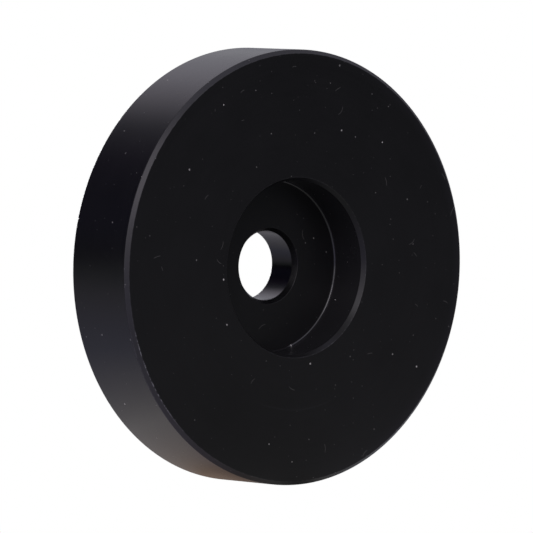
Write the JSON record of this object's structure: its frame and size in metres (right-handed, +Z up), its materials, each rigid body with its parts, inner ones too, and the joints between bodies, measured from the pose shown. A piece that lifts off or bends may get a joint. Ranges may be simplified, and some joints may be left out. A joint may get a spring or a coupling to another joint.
{
  "type": "counterbored disc",
  "caption": "Solid turned black plastic disc with a plain through-bore, a flat-bottomed counterbore on its front face and a chamfered outer edge.",
  "frame": {"origin": "centre of the disc's bounding box, on the bore axis, halfway between the front and back faces", "axes": "+Y along the bore axis towards the plain back face, so the counterbored front face looks towards -Y; +Z up, the disc standing upright on its rim; +X completes the frame, in the plane of the disc"},
  "size_m": [0.05, 0.01, 0.05],
  "materials": {
    "black_plastic": "satin as-turned black acetal-like engineering plastic: soft sheen on the rim, finer concentric tool marks on the faces, paler polished line on the chamfers"
  },
  "bodies": {
    "root": {"disc": "black_plastic"}
  },
  "joints": []
}
